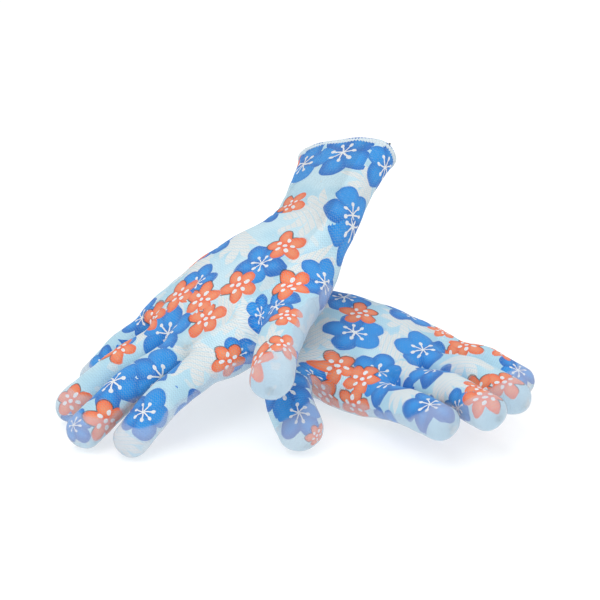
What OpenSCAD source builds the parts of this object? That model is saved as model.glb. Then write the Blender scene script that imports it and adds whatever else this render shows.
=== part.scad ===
// A pair of thin knitted gardening gloves, stuffed as if worn, one lying across the other.
// Each glove is drawn in its own frame (X across the hand, thumb at -X, Y along the
// fingers, Z out of the back of the hand), bent at its knuckles, then laid in place.

/* [Glove] */
// Thickness of the knitted fabric
wall = 1.2; // [1:0.1:1.5]
// Thickness of the dipped film on palm and fingers
film = 0.35; // [0.25:0.05:0.5]
// Depth of the elastic rib cuff, wrist to rim
cuff_depth = 62; // [55:1:66]
// Height of the overlocked hem at the rim
hem_height = 3; // [2:0.5:4]
// Half width of the flared cuff rim
rim_half_width = 28; // [25:0.5:30]

/* [Fingers] */
// Cloth left free at each knuckle, so that one stall can turn on the next
knuckle_gap = 0.6; // [0.5:0.1:1]
// Half angle of the fold that opens under each knuckle
fold_angle = 32; // [30:1:34]
// How far past the web each finger's first knuckle line lies
web_to_knuckle = 9; // [8:0.5:10]

/* [Left glove] */
// Wrist of the left glove, which lies palm down
left_wrist = [-4.7, 36.4, 25.7];
// Turn of the left glove: about Z, then X, then Y
left_turn = [-133, -5, 4];

/* [Right glove] */
// Wrist of the right glove, which lies across the left one
right_wrist = [5.3, 18.6, 78.8];
// Turn of the right glove: about Z, then X, then Y
right_turn = [123, -28, 1];
// How much fuller the palm of the right glove is than the left one's
right_fullness = 1.25; // [1:0.05:1.3]

/* [Hidden] */
DIGITS = ["index", "middle", "ring", "pinky", "thumb"];
SIDES = ["left", "right"];
SECTIONS = ["hand", "cuff", "hem", "elastic", "palm_coat"];

palm_sides = 28;
digit_sides = 16;
skin_gap = 0.03;
extend_angle = 7;
stub_root = 9;
// How far the hollow runs past the wrist, and how deep the thumb's stub is rooted
wrist_cut = 20;
thumb_stub_root = 0;

// Each finger: web point, near length, far length, half width, half thickness
FINGERS = [
    [[-31, 90, 0], 31, 34, 10.2, 9.2],
    [[-10.5, 96, 2], 34, 38, 10.3, 9.4],
    [[10.5, 93, 1], 32, 36, 10.1, 9.2],
    [[30.5, 84, -2], 25, 30, 9.3, 8.5]];
thumb_root = [-22, 24, -4];
THUMB_LENGTHS = [40, 27, 27];
THUMB_HALF = [12.4, 10.8];
thumb_root_half = [15.5, 13.5];
tip_taper = 0.9;

// Rest bends of each finger: outward, down at the web, down at the middle knuckle
LEFT_BENDS = [[-13, -20, 10], [-12, -22, 16], [-6, -20, 21], [11, -9, 24]];
RIGHT_BENDS = [[-5, -6, 17], [-4, -10, 13], [3, -7, 11], [8, 0, 15]];
// Thumb: outward, down, roll, first knuckle, second knuckle
LEFT_THUMB = [52, -12, -41, 13, 30];
RIGHT_THUMB = [47, -8, 35, -2, 8];
// Cuff: tilt and swing against the hand
LEFT_CUFF = [10, 9];
RIGHT_CUFF = [0, 33];

// Sections along the hand: y, thumb edge, outer edge, back half height, palm half height
PALM = [
    [0, -24.5, 24.5, 16, 16],
    [15, -30, 28, 18, 19],
    [30, -37, 33, 19, 21.5],
    [50, -43, 38, 18.5, 20.5],
    [66, -44, 41, 16, 18],
    [80, -43, 41, 14, 16],
    [89, -41, 33, 11.5, 12.5],
    [94, -34, 20, 7, 7.5]];
palm_squareness = 2.6;
coat_from = 1;

function rot_x(a) = [[1, 0, 0], [0, cos(a), -sin(a)], [0, sin(a), cos(a)]];
function rot_y(a) = [[cos(a), 0, sin(a)], [0, 1, 0], [-sin(a), 0, cos(a)]];
function rot_z(a) = [[cos(a), -sin(a), 0], [sin(a), cos(a), 0], [0, 0, 1]];
FLAT = rot_x(0);

function is_left(side) = side == "left";
function glove_turn(t) = rot_z(t[0]) * rot_x(t[1]) * rot_y(t[2]);
function lay(side, p) =
    (is_left(side) ? left_wrist : right_wrist)
    + glove_turn(is_left(side) ? left_turn : right_turn)
    * [is_left(side) ? -p[0] : p[0], p[1], p[2]];
function lay_ring(side, ring) = [for (p = ring) lay(side, p)];

// Bones of a digit, in the glove's frame: [root, root turn, knuckle 1, turn 1, knuckle 2, turn 2]
function finger_bones(side, k) =
    let (f = FINGERS[k], b = (is_left(side) ? LEFT_BENDS : RIGHT_BENDS)[k],
         turn1 = rot_z(-b[0]) * rot_x(-b[1]), turn2 = turn1 * rot_x(-b[2]))
    [f[0], turn1, f[0] + turn1 * [0, web_to_knuckle, 0], turn1, f[0] + turn1 * [0, f[1], 0], turn2];
function thumb_bones(side) =
    let (b = is_left(side) ? LEFT_THUMB : RIGHT_THUMB,
         turn0 = rot_z(b[0]) * rot_x(-b[1]) * rot_y(b[2]), turn1 = turn0 * rot_x(-b[3]),
         turn2 = turn1 * rot_x(-b[4]), k1 = thumb_root + turn0 * [0, THUMB_LENGTHS[0], 0])
    [thumb_root, turn0, k1, turn1, k1 + turn1 * [0, THUMB_LENGTHS[1], 0], turn2];
function bones(side, k) = k == 4 ? thumb_bones(side) : finger_bones(side, k);
function half_size(k) = k == 4 ? THUMB_HALF : [FINGERS[k][3], FINGERS[k][4]];
function base_length(k) = k == 4 ? THUMB_LENGTHS[1] : FINGERS[k][1] - web_to_knuckle;
function tip_length(k) = k == 4 ? THUMB_LENGTHS[2] : FINGERS[k][2];

// A ring of a stall: at distance s along a bone, half sizes ab, sheared by the fold under a knuckle
function fold_shift(z, lean) = lean * ((z < 0 ? -z * tan(fold_angle) : z * tan(extend_angle)) + knuckle_gap / 2);
function stall_ring(start, turn, s, ab, lean, angles) =
    [for (a = angles)
        let (z = ab[1] * sin(a))
        start + turn * [ab[0] * cos(a), s + fold_shift(z, lean), z]];
function circle_angles(n) = [for (i = [0 : n - 1]) 360 * i / n];
// The film covers the palm half of a ring, from one side to the other
function coat_angles(n) = [for (i = [n / 2 : n]) 360 * i / n];
function grown(ab, g) = [ab[0] + g, ab[1] + g];

// Rings of the near and far stalls, grown outwards by g
function base_rings(side, k, g, angles) =
    let (b = bones(side, k), l = base_length(k), ab = half_size(k))
    [stall_ring(b[2], b[3], 0, grown(ab, g), 1, angles),
     stall_ring(b[2], b[3], l * 0.5, grown(ab * 0.99, g), 0, angles),
     stall_ring(b[2], b[3], l, grown(ab * 0.98, g), -1, angles)];
function tip_rings(side, k, g, angles) =
    let (b = bones(side, k), ab = half_size(k), r = ab[1] * tip_taper, l = tip_length(k) - r)
    concat(
        [stall_ring(b[4], b[5], 0, grown(ab * 0.98, g), 1, angles),
         stall_ring(b[4], b[5], l * 0.7, grown(ab * 0.95, g), 0, angles)],
        [for (t = [0, 30, 55, 75])
            stall_ring(b[4], b[5], l + (r + g) * sin(t), grown(ab * tip_taper, g) * cos(t), 0, angles)]);
function tip_end(side, k, g) =
    let (b = bones(side, k), r = half_size(k)[1] * tip_taper)
    b[4] + b[5] * [0, tip_length(k) + g, 0];

function powered(c, n) = sign(c) * pow(abs(c), 2 / n);
function palm_ring(side, row, g, angles) =
    [for (a = angles)
        let (mid = (row[1] + row[2]) / 2, half = (row[2] - row[1]) / 2,
             full = is_left(side) ? 1 : right_fullness,
             high = sin(a) < 0 && row[0] > 0 ? row[4] * full : row[3])
        [mid + (half + g) * powered(cos(a), palm_squareness), row[0],
         (high + g) * powered(sin(a), palm_squareness)]];

// Cuff: half width and half height run from the wrist to the flared rim
function cuff_ring(side, s, g, n) =
    let (c = is_left(side) ? LEFT_CUFF : RIGHT_CUFF, turn = rot_z(c[1]) * rot_x(c[0]), t = s / cuff_depth,
         face = s < 1 ? FLAT : turn, a = 24.5 - 8 * t + (rim_half_width - 16.5) * t * t,
         b = 16 - 5 * t + 2 * t * t)
    [for (i = [0 : n - 1])
        let (u = 360 * i / n)
        turn * [0, -s, 0] + face * [(a + g) * powered(cos(u), palm_squareness), 0,
                                    (b + g) * powered(sin(u), palm_squareness)]];

function flipped(tri, flip) = flip ? tri : [tri[0], tri[2], tri[1]];
// Side walls between rings of m points; closed joins the last point to the first
function wall_faces(from, rings, m, flip, closed) =
    [for (j = [0 : rings - 2]) for (i = [0 : m - (closed ? 1 : 2)])
        let (a = from + j * m + i, b = from + j * m + (i + 1) % m, c = a + m, d = b + m)
        each [flipped([a, c, b], flip), flipped([b, c, d], flip)]];
function band_faces(a0, b0, m, flip) =
    [for (i = [0 : m - 1])
        let (n = (i + 1) % m)
        each [flipped([a0 + i, a0 + n, b0 + i], flip), flipped([a0 + n, b0 + n, b0 + i], flip)]];
function fan_faces(from, m, centre, flip) =
    [for (i = [0 : m - 1]) flipped([from + i, from + (i + 1) % m, centre], flip)];

// A solid carried through rings, its two ends closed at their middles
module swept(rings, flip) {
    m = len(rings[0]);
    n = len(rings);
    middles = [for (r = [rings[0], rings[n - 1]]) [for (c = [0 : 2]) [for (p = r) p[c]] * [for (p = r) 1]] / m];
    polyhedron(
        points = concat([for (r = rings) each r], middles),
        faces = concat(wall_faces(0, n, m, flip, true), fan_faces(0, m, n * m, flip),
                       fan_faces((n - 1) * m, m, n * m + 1, !flip)));
}

// A tube with a wall: open at both ends, or closed over its last ring by the two end points
module tube(outer, inner, flip, ends = []) {
    m = len(outer[0]);
    n = len(outer);
    q = len(inner);
    w = n * m;
    polyhedron(
        points = concat([for (r = outer) each r], [for (r = inner) each r], ends),
        faces = concat(
            wall_faces(0, n, m, flip, true), wall_faces(w, q, m, !flip, true),
            band_faces(0, w, m, flip),
            len(ends) == 0
                ? band_faces((n - 1) * m, w + (q - 1) * m, m, !flip)
                : concat(fan_faces((n - 1) * m, m, w + q * m, !flip),
                         fan_faces(w + (q - 1) * m, m, w + q * m + 1, flip))));
}

// An open sheet with thickness, from rings that don't close
module sheet(outer, inner, flip) {
    m = len(outer[0]);
    n = len(outer);
    w = n * m;
    polyhedron(
        points = concat([for (r = outer) each r], [for (r = inner) each r]),
        faces = concat(
            wall_faces(0, n, m, flip, false), wall_faces(w, n, m, !flip, false),
            [for (i = [0 : m - 2]) each [
                flipped([i, i + 1, w + i], flip), flipped([i + 1, w + i + 1, w + i], flip),
                flipped([w - m + i, w + w - m + i, w - m + i + 1], flip),
                flipped([w - m + i + 1, w + w - m + i, w + w - m + i + 1], flip)]],
            [for (j = [0 : n - 2]) each [
                flipped([j * m, w + j * m, j * m + m], flip),
                flipped([j * m + m, w + j * m, w + j * m + m], flip),
                flipped([j * m + m - 1, j * m + 2 * m - 1, w + j * m + m - 1], flip),
                flipped([j * m + 2 * m - 1, w + j * m + 2 * m - 1, w + j * m + m - 1], flip)]]));
}

module stub(side, k, g, reach) {
    b = bones(side, k);
    ab = half_size(k);
    root_ab = k == 4 ? thumb_root_half : ab;
    angles = circle_angles(digit_sides);
    l = k == 4 ? THUMB_LENGTHS[0] : web_to_knuckle;
    rings = [
        stall_ring(b[0], b[1], k == 4 ? thumb_stub_root : -stub_root, grown(root_ab, g), 0, angles),
        stall_ring(b[0], b[1], l * 0.35, grown((root_ab + ab) / 2, g), 0, angles),
        stall_ring(b[0], b[1], l + reach, grown(ab, g), -1, angles)];
    swept([for (r = rings) lay_ring(side, r)], is_left(side));
}

module palm_block(side, g, over) {
    rows = [for (i = [0 : len(PALM) - 1])
        let (r = PALM[i], y = i == 0 ? r[0] - over : i == len(PALM) - 1 ? r[0] + g : r[0])
        [y, r[1], r[2], r[3], r[4]]];
    swept([for (r = rows) lay_ring(side, palm_ring(side, r, g, circle_angles(palm_sides)))], is_left(side));
}

module hand(side) {
    color("lightblue")
        difference() {
            union() {
                palm_block(side, 0, 0);
                for (k = [0 : 4]) stub(side, k, 0, 0);
            }
            palm_block(side, -wall, wrist_cut);
            for (k = [0 : 4]) stub(side, k, -wall, 2);
        }
}

module cuff(side) {
    stations = [0, 12, 26, 42, cuff_depth - hem_height];
    color("skyblue")
        tube([for (s = stations) lay_ring(side, cuff_ring(side, s, 0, palm_sides))],
             [for (s = stations) lay_ring(side, cuff_ring(side, s, -wall, palm_sides))], !is_left(side));
}

module hem(side) {
    stations = [cuff_depth - hem_height, cuff_depth - hem_height / 2, cuff_depth];
    swell = [0.2, 0.7, 0.2];
    color("white")
        tube([for (i = [0 : 2]) lay_ring(side, cuff_ring(side, stations[i], swell[i], palm_sides))],
             [for (i = [0 : 2]) lay_ring(side, cuff_ring(side, stations[i], -wall - swell[i], palm_sides))],
             !is_left(side));
}

module elastic(side) {
    threads = 4;
    thread = 0.7;
    color("whitesmoke")
        for (i = [1 : threads]) {
            s = i * (cuff_depth - hem_height) / (threads + 1);
            tube([for (e = [0, thread]) lay_ring(side, cuff_ring(side, s + e, -wall - skin_gap, palm_sides))],
                 [for (e = [0, thread]) lay_ring(side, cuff_ring(side, s + e, -wall - thread, palm_sides))],
                 !is_left(side));
        }
}

module palm_coat(side) {
    rows = [for (i = [coat_from : len(PALM) - 2]) PALM[i]];
    color("lavender")
        difference() {
            sheet([for (r = rows) lay_ring(side, palm_ring(side, r, film, coat_angles(palm_sides)))],
                  [for (r = rows) lay_ring(side, palm_ring(side, r, skin_gap, coat_angles(palm_sides)))], is_left(side));
            for (k = [0 : 4]) stub(side, k, film, 2);
        }
}

module base_stall(side, k) {
    angles = circle_angles(digit_sides);
    color("lightblue")
        tube([for (r = base_rings(side, k, 0, angles)) lay_ring(side, r)],
             [for (r = base_rings(side, k, -wall, angles)) lay_ring(side, r)], is_left(side));
}

module tip_stall(side, k) {
    angles = circle_angles(digit_sides);
    color("lightblue")
        tube([for (r = tip_rings(side, k, 0, angles)) lay_ring(side, r)],
             [for (r = tip_rings(side, k, -wall, angles)) lay_ring(side, r)], is_left(side),
             [lay(side, tip_end(side, k, 0)), lay(side, tip_end(side, k, -wall))]);
}

module base_coat(side, k) {
    color("lavender")
        sheet([for (r = base_rings(side, k, film, coat_angles(digit_sides))) lay_ring(side, r)],
              [for (r = base_rings(side, k, skin_gap, coat_angles(digit_sides))) lay_ring(side, r)], is_left(side));
}

module tip_coat(side, k) {
    color("lavender")
        sheet([for (r = tip_rings(side, k, film, coat_angles(digit_sides))) lay_ring(side, r)],
              [for (r = tip_rings(side, k, skin_gap, coat_angles(digit_sides))) lay_ring(side, r)], is_left(side));
}

for (side = SIDES) {
    hand(side);
    cuff(side);
    hem(side);
    elastic(side);
    palm_coat(side);
    for (k = [0 : 4]) {
        base_stall(side, k);
        tip_stall(side, k);
        base_coat(side, k);
        tip_coat(side, k);
    }
}
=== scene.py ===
import math
import bpy
import numpy as np
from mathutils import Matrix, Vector


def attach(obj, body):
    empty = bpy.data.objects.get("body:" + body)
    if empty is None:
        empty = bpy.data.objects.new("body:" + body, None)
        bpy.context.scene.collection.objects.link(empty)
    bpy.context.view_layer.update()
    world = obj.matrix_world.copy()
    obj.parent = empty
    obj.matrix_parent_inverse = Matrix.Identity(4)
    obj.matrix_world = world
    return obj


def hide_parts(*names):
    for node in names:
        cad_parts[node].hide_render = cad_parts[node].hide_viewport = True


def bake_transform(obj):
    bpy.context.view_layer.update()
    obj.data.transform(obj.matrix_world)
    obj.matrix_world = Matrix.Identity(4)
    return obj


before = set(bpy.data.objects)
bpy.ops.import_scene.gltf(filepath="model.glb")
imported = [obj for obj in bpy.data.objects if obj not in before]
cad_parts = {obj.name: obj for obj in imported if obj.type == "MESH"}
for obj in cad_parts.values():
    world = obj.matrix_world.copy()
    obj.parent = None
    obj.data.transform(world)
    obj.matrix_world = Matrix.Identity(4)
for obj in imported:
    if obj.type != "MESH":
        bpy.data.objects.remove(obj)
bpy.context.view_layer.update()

# All glove sizes are in millimetres in the glove's own flat frame:
# x across the hand with the thumb at -x, y along the fingers, z out of the back of the hand.
gloveForm = {
    "step": 1.3,            # spacing of the wrapped skin
    "squareness": 2.6,      # of the hand's cross sections
    "cloth": 1.2,           # thickness of the knit
    "rim": -62.0,           # where the cuff is cut open
    # y, thumb edge, outer edge, back height, palm height
    "rows": ((-72, -29, 29, 13, 13), (-62, -28, 28, 13, 13), (-50, -25.5, 25.5, 13.2, 13.2),
             (-38, -24.1, 24.1, 13.7, 13.7), (-26, -23.2, 23.2, 14.2, 14.2), (-12, -23.4, 23.4, 15.1, 15.1),
             (0, -24.8, 24.8, 16, 16), (15, -30, 28, 18, 19), (30, -37, 33, 19, 21.5),
             (50, -43, 38, 18.5, 20.5), (66, -44, 41, 16, 18), (80, -43, 41, 14, 16),
             (89, -41, 40, 11.5, 12.5), (100, -40, 40, 10, 10)),
    "handFront": 95.0,
    "digitBlend": 5.0, "thumbBlend": 11.0, "webBlend": 1.6,
}

# root, spread in the flat glove, near and far lengths, half sizes, where the near stall starts and ends
digitForm = {
    "Index": dict(root=(-31, 90, 0), spread=-16, near=31, far=34, half=(10.1, 9.1), cuts=(0, 20), swing=9),
    "Middle": dict(root=(-10.5, 96, 2), spread=-5, near=34, far=38, half=(10.2, 9.3), cuts=(0, 20), swing=9),
    "Ring": dict(root=(10.5, 93, 1), spread=6, near=32, far=36, half=(10.0, 9.1), cuts=(0, 20), swing=9),
    "Pinky": dict(root=(30.5, 84, -2), spread=17, near=25, far=30, half=(9.2, 8.4), cuts=(1, 15.5), swing=8),
    "Thumb": dict(root=(-22, 24, -4), spread=-48, near=67, far=27, half=(12.3, 10.7), cuts=(28, 53.5),
                  swing=10),
}
# the thumb's half width and half thickness at places along it, which end at its tip, and the degrees by
# which it points up out of the hand's plane
thumbGirth = {"places": (-8, 12, 40, 67, 86, 94), "wide": (17, 16, 12.6, 12.1, 11.6, 11.1),
              "thick": (15, 14, 11, 10.6, 10.2, 9.6), "lift": 10}

# Where each glove lies: wrist in millimetres, turns in degrees. Finger bends are outward, down at the web,
# down at the middle knuckle; the thumb's are outward, down, roll, and down at its two knuckles; the cuff's
# are tilt and swing. Drawn is how far the cuff is pulled out, and its share of widening at the rim.
gloveLay = {
    "left": dict(wrist=(-4.7, 36.4, 25.7), turn=(-133, -5, 4), mirror=-1, fullness=1.0, cuff=(10, 9),
                 drawn=(0, 0), thumb=(52, -12, -41, 13, 30),
                 bends=dict(Index=(-13, -20, 10), Middle=(-12, -22, 16), Ring=(-6, -20, 21),
                            Pinky=(11, -9, 24))),
    "right": dict(wrist=(5.3, 18.6, 78.8), turn=(123, -28, 1), mirror=1, fullness=1.25, cuff=(0, 33),
                  drawn=(5, 0.07), thumb=(47, -8, 35, -2, 8),
                  bends=dict(Index=(-5, -6, 17), Middle=(-4, -10, 13), Ring=(3, -7, 11), Pinky=(8, 0, 15))),
}


def smoothRise(t):
    t = np.clip(t, 0, 1)
    return t * t * (3 - 2 * t)


def turnX(a):
    c, s = math.cos(math.radians(a)), math.sin(math.radians(a))
    return np.array([[1, 0, 0], [0, c, -s], [0, s, c]])


def turnY(a):
    c, s = math.cos(math.radians(a)), math.sin(math.radians(a))
    return np.array([[c, 0, s], [0, 1, 0], [-s, 0, c]])


def turnZ(a):
    c, s = math.cos(math.radians(a)), math.sin(math.radians(a))
    return np.array([[c, -s, 0], [s, c, 0], [0, 0, 1]])


def easedTurns(matrix, share):
    # the same rotation taken part of the way: Rodrigues' formula at share times the angle
    angle = math.acos(max(-1.0, min(1.0, (np.trace(matrix) - 1) / 2)))
    axis = np.array([matrix[2, 1] - matrix[1, 2], matrix[0, 2] - matrix[2, 0], matrix[1, 0] - matrix[0, 1]])
    axis = axis / max(np.linalg.norm(axis), 1e-9)
    k = np.array([[0, -axis[2], axis[1]], [axis[2], 0, -axis[0]], [-axis[1], axis[0], 0]])
    a = (share * angle)[:, None, None]
    return np.eye(3) + np.sin(a) * k + (1 - np.cos(a)) * (k @ k)


# The flat glove is a field that is negative inside the stuffed glove.
def evenRows(fullness):
    # the section table resampled every millimetre and softened over 11 mm
    table = np.array(gloveForm["rows"], float)
    table[table[:, 0] > 0, 4] *= fullness
    y = np.arange(-90, 121, 1.0)
    kernel = np.hanning(13)[1:-1]
    kernel /= kernel.sum()
    columns = [np.convolve(np.pad(np.interp(y, table[:, 0], table[:, k]), 5, mode="edge"), kernel, "valid")
               for k in range(1, 5)]
    return y, columns


def handField(p, sections):
    # superellipse |u|^n + |w|^n = 1 across each section, divided by its slope to give millimetres
    n = gloveForm["squareness"]
    y, columns = sections
    thumbEdge, outerEdge, back, palm = (np.interp(p[..., 1], y, c) for c in columns)
    half = (outerEdge - thumbEdge) / 2
    high = np.where(p[..., 2] < 0, palm, back)
    u = np.abs(p[..., 0] - (thumbEdge + outerEdge) / 2) / half
    w = np.abs(p[..., 2]) / high
    f = np.maximum((u ** n + w ** n) ** (1 / n), 0.02)
    slope = f ** (1 - n) * np.hypot(u ** (n - 1) / half, w ** (n - 1) / high)
    return (f - 1) / np.maximum(slope, 1 / half)


def straightPlace(p, name):
    # distances along, across and up in a digit's own straight frame
    digit = digitForm[name]
    turn = turnZ(-digit["spread"]) @ (turnX(thumbGirth["lift"]) if name == "Thumb" else np.eye(3))
    q = (p - np.array(digit["root"], float)) @ turn
    return q[..., 1], q[..., 0], q[..., 2]


def digitField(p, name):
    # tapered elliptic stall with a rounded end: with near = |scaled place|, the distance is about
    # near (near - 1) / slope
    digit = digitForm[name]
    along, across, up = straightPlace(p, name)
    length = digit["near"] + digit["far"]
    wide, thick = digit["half"]
    end = thick * 0.9
    if name == "Thumb":
        wideAt = np.interp(along, thumbGirth["places"], thumbGirth["wide"])
        thickAt = np.interp(along, thumbGirth["places"], thumbGirth["thick"])
    else:
        places = (-10, 9, digit["near"], digit["near"] + 0.7 * digit["far"], length)
        taper = np.interp(along, places, (1, 1, 0.985, 0.95, 0.9))
        wideAt, thickAt = wide * taper, thick * taper
    cap = np.maximum(along - (length - end), 0) / end
    foot = np.maximum(-8 - along, 0) / 9
    near = np.sqrt((across / wideAt) ** 2 + (up / thickAt) ** 2 + cap ** 2 + foot ** 2)
    slope = np.sqrt((across / wideAt ** 2) ** 2 + (up / thickAt ** 2) ** 2
                    + (cap / end) ** 2 + (foot / 9) ** 2)
    return near * (near - 1) / np.maximum(slope, 1e-3)


def softUnion(a, b, width):
    h = np.clip(0.5 + 0.5 * (b - a) / width, 0, 1)
    return b + (a - b) * h - width * h * (1 - h)


def gloveField(p, sections):
    hand = handField(p, sections)
    front = p[..., 1] - gloveForm["handFront"] + 0.004 * p[..., 0] ** 2
    hand = -softUnion(-hand, -front, 6.0)
    stalls = None
    for name in ("Index", "Middle", "Ring", "Pinky"):
        d = digitField(p, name)
        stalls = d if stalls is None else softUnion(stalls, d, gloveForm["webBlend"])
    glove = softUnion(hand, stalls, gloveForm["digitBlend"])
    return softUnion(glove, digitField(p, "Thumb"), gloveForm["thumbBlend"])


def wrapSkin(values, low, step):
    # one point per grid cell that the surface crosses, at the mean of the crossings on its edges,
    # and one four-sided face per crossed grid edge
    shape = tuple(n - 1 for n in values.shape)
    total, count = np.zeros(shape + (3,)), np.zeros(shape)
    crossings = []
    for axis in range(3):
        o1, o2 = (axis + 1) % 3, (axis + 2) % 3
        a = np.moveaxis(values, (axis, o1, o2), (0, 1, 2))
        f0, f1 = a[:-1], a[1:]
        crossed = (f0 < 0) != (f1 < 0)
        t = np.where(crossed, f0 / np.where(crossed, f0 - f1, 1), 0)
        place = np.stack(np.meshgrid(*[np.arange(n, dtype=float) for n in f0.shape], indexing="ij"), -1)
        place[..., 0] += t
        view = np.moveaxis(total, (axis, o1, o2), (0, 1, 2))
        tally = np.moveaxis(count, (axis, o1, o2), (0, 1, 2))
        for d1 in (0, 1):
            for d2 in (0, 1):
                part = (slice(None), slice(d1, d1 + view.shape[1]), slice(d2, d2 + view.shape[2]))
                hit = crossed[part]
                for c, to in enumerate((axis, o1, o2)):
                    view[..., to] += place[part][..., c] * hit
                tally += hit
        crossings.append((axis, o1, o2, crossed, f0 < 0))
    used = count > 0
    number = np.full(shape, -1)
    number[used] = np.arange(used.sum())
    points = total[used] / count[used][:, None] * step + low
    faces = []
    for axis, o1, o2, crossed, inside in crossings:
        cell = np.moveaxis(number, (axis, o1, o2), (0, 1, 2))
        i, j, k = np.nonzero(crossed[:, 1:-1, 1:-1])
        quad = np.stack([cell[i, j, k], cell[i, j + 1, k], cell[i, j + 1, k + 1], cell[i, j, k + 1]], 1)
        outward = inside[:, 1:-1, 1:-1][i, j, k]
        faces.append(np.where(outward[:, None], quad, quad[:, ::-1]))
    return points, np.concatenate(faces)


def edgeList(faces):
    # every face side once, each as (from, to)
    return np.concatenate([np.stack([faces[:, k], faces[:, (k + 1) % faces.shape[1]]], 1)
                           for k in range(faces.shape[1])])


def meanOfNeighbours(points, faces):
    e = edgeList(faces)
    total = np.stack([np.bincount(e[:, 0], points[e[:, 1], c], len(points))
                      + np.bincount(e[:, 1], points[e[:, 0], c], len(points))
                      for c in range(points.shape[1])], 1)
    return total / np.maximum(np.bincount(e.ravel(), minlength=len(points)), 1)[:, None]


def pointNormals(points, faces):
    # mean of the face normals round each point, weighted by area
    across = np.cross(points[faces[:, 2]] - points[faces[:, 0]], points[faces[:, 3]] - points[faces[:, 1]])
    total = np.stack([np.bincount(faces.ravel(), np.repeat(across[:, c], 4), len(points))
                      for c in range(3)], 1)
    return total / np.maximum(np.linalg.norm(total, axis=1), 1e-9)[:, None]


def flatGlove(fullness):
    # wraps the field, then evens the net out and draws it back onto the surface a few times, and cuts the rim
    step = gloveForm["step"]
    low = np.array([-108.0, gloveForm["rim"] - 5.2, -34.0])
    size = np.ceil((np.array([64.0, 176.0, 26.0]) - low) / step).astype(int)
    grid = np.stack(np.meshgrid(*[low[c] + step * np.arange(size[c]) for c in range(3)], indexing="ij"), -1)
    sections = evenRows(fullness)
    field = gloveField(grid, sections)
    field[:, 0] = 1.0
    points, faces = wrapSkin(field, low, step)
    for _ in range(6):
        points = points * 0.4 + meanOfNeighbours(points, faces) * 0.6
        d = gloveField(points, sections)
        slope = np.stack([(gloveField(points + o, sections) - d) / 0.2 for o in np.eye(3) * 0.2], 1)
        keep = points[:, 1] > gloveForm["rim"] - 3
        move = (d / np.maximum((slope ** 2).sum(1), 0.2))[:, None] * slope
        points = np.where(keep[:, None], points - np.clip(move, -0.8, 0.8), points)
    faces = faces[points[faces][:, :, 1].mean(1) > gloveForm["rim"]]
    points, faces = usedOnly(points, faces)[:2]
    rim = openPoints(faces)
    points[rim, 1] = gloveForm["rim"]
    return points, faces


def usedOnly(points, faces):
    used = np.unique(faces)
    number = np.zeros(len(points), int)
    number[used] = np.arange(len(used))
    return points[used], number[faces], used


def openSides(faces):
    # sides that belong to one face only, in the direction of that face
    e = edgeList(faces)
    key = np.sort(e, 1) @ np.array([faces.max() + 1, 1])
    _, first, times = np.unique(key, return_index=True, return_counts=True)
    return e[first[times == 1]]


def openPoints(faces):
    return np.unique(openSides(faces))


# The pose is the flat glove bent along its bones.
def carriedLine(start, first, bends, span):
    # the bone line: its direction turns through each bend in a smooth stretch, and its place is the
    # running sum of the direction
    s = np.arange(span[0], span[1] + 0.1, 0.25)
    turn = np.broadcast_to(first, (len(s), 3, 3))
    for middle, reach, matrix in bends:
        turn = turn @ easedTurns(matrix, smoothRise((s - middle + reach) / (2 * reach)))
    heading = turn[:, :, 1]
    steps = (heading[1:] + heading[:-1]) / 2 * 0.25
    return s, start + np.vstack([np.zeros(3), np.cumsum(steps, 0)]), turn


def alongLine(line, along, across, up):
    s, place, turn = line
    t = np.clip(along, s[0], s[-1])
    frames = np.stack([[np.interp(t, s, turn[:, r, c]) for c in range(3)] for r in range(3)])
    at = np.stack([np.interp(t, s, place[:, c]) for c in range(3)], 1)
    local = np.stack([across, along - t, up])
    return at + np.einsum("rcn,cn->nr", frames, local)


def fingerLine(side, name):
    digit, bend = digitForm[name], gloveLay[side]["bends"][name]
    root = np.array(digit["root"], float)
    flat = turnZ(-digit["spread"])
    webbed = turnZ(-bend[0]) @ turnX(-bend[1])
    bends = [(0, 9, flat.T @ webbed), (digit["near"], digit["swing"], turnX(-bend[2]))]
    return carriedLine(root + flat @ np.array([0, -40.0, 0]), flat, bends, (-40, 90))


def thumbLine(side):
    out, down, roll, first, second = gloveLay[side]["thumb"]
    root = np.array(digitForm["Thumb"]["root"], float)
    flat = turnZ(-digitForm["Thumb"]["spread"]) @ turnX(thumbGirth["lift"])
    based = turnZ(out) @ turnX(-down)
    bends = [(0, 14, flat.T @ based), (26, 18, turnY(roll)), (40, 10, turnX(-first)),
             (67, 10, turnX(-second))]
    return carriedLine(root + flat @ np.array([0, -40.0, 0]), flat, bends, (-40, 110))


def cuffLine(side):
    tilt, swing = gloveLay[side]["cuff"]
    back = turnZ(180)
    bends = [(0, 14, back.T @ turnZ(swing) @ turnX(tilt) @ back)]
    return carriedLine(np.array([0, 30.0, 0]), back, bends, (-30, 80))


def drawnCuff(p, side):
    # the soft cuff pulled longer and opened a little towards its rim
    longer, wider = gloveLay[side]["drawn"]
    share = smoothRise((-8 - p[:, 1]) / 50)
    return np.stack([p[:, 0] * (1 + wider * share), p[:, 1] - longer * share, p[:, 2]], -1)


# where the hand's own field ends, and over how many millimetres thumb and fingers share a point
bendShare = {"handEnd": 98, "beyond": 50, "thumb": 3.5, "finger": 0.8}


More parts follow.
